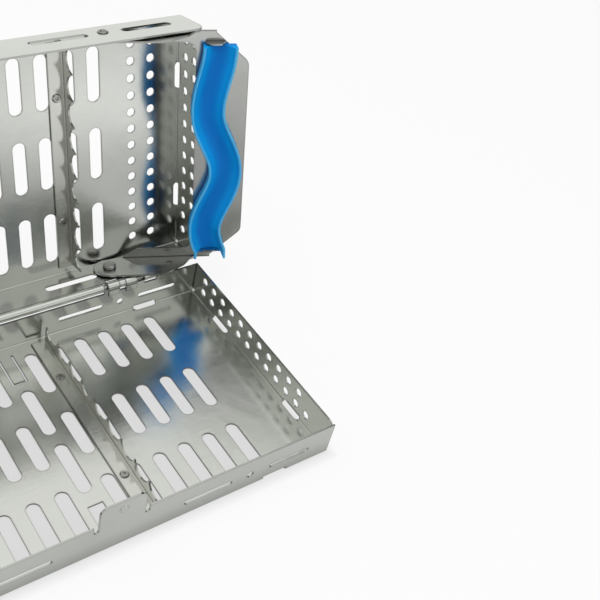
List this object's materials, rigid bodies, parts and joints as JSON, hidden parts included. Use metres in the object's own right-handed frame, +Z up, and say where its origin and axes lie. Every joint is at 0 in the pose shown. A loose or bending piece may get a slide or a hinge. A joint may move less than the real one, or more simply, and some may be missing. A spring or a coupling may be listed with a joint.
{
  "type": "instrument tray",
  "caption": "Hinged perforated stainless instrument cassette, open, with scalloped racks and a swinging hold-down bracket that carries a wavy silicone rail.",
  "frame": {"origin": "underside of the base tray, at the middle of its floor", "axes": "+X along the hinge to the bracket's side, +Y to the hinge at the back, +Z up"},
  "size_m": [0.285, 0.2013, 0.1682],
  "materials": {
    "stainless_sheet": "satin",
    "stainless_fasteners": "polished",
    "blue_silicone": "matte"
  },
  "bodies": {
    "base": {"base_tray": "stainless_sheet", "base_rack_right": "stainless_sheet", "base_rack_right_rivets": "stainless_fasteners", "base_rack_left": "stainless_sheet", "base_rack_left_rivets": "stainless_fasteners", "hinge_pin": "stainless_fasteners"},
    "lid": {"lid_tray": "stainless_sheet", "lid_rack_right": "stainless_sheet", "lid_rack_right_rivets": "stainless_fasteners", "lid_rack_left": "stainless_sheet", "lid_rack_left_rivets": "stainless_fasteners", "pivot_rivet_back": "stainless_fasteners", "pivot_rivet_front": "stainless_fasteners"},
    "bracket": {"holddown_bracket": "stainless_sheet", "silicone_rail": "blue_silicone"}
  },
  "joints": [
    {"name": "lid_hinge", "type": "hinge", "parent": "base", "child": "lid", "pos_m": [0, 0.0739, 0.0232], "axis": [1, 0, 0], "range_deg": [0, 80]},
    {"name": "bracket_swing", "type": "hinge", "parent": "lid", "child": "bracket", "pos_m": [0.0765, 0.10209, 0.09352], "axis": [0, -0.2164, -0.9763], "range_deg": [0, 153.78]}
  ]
}
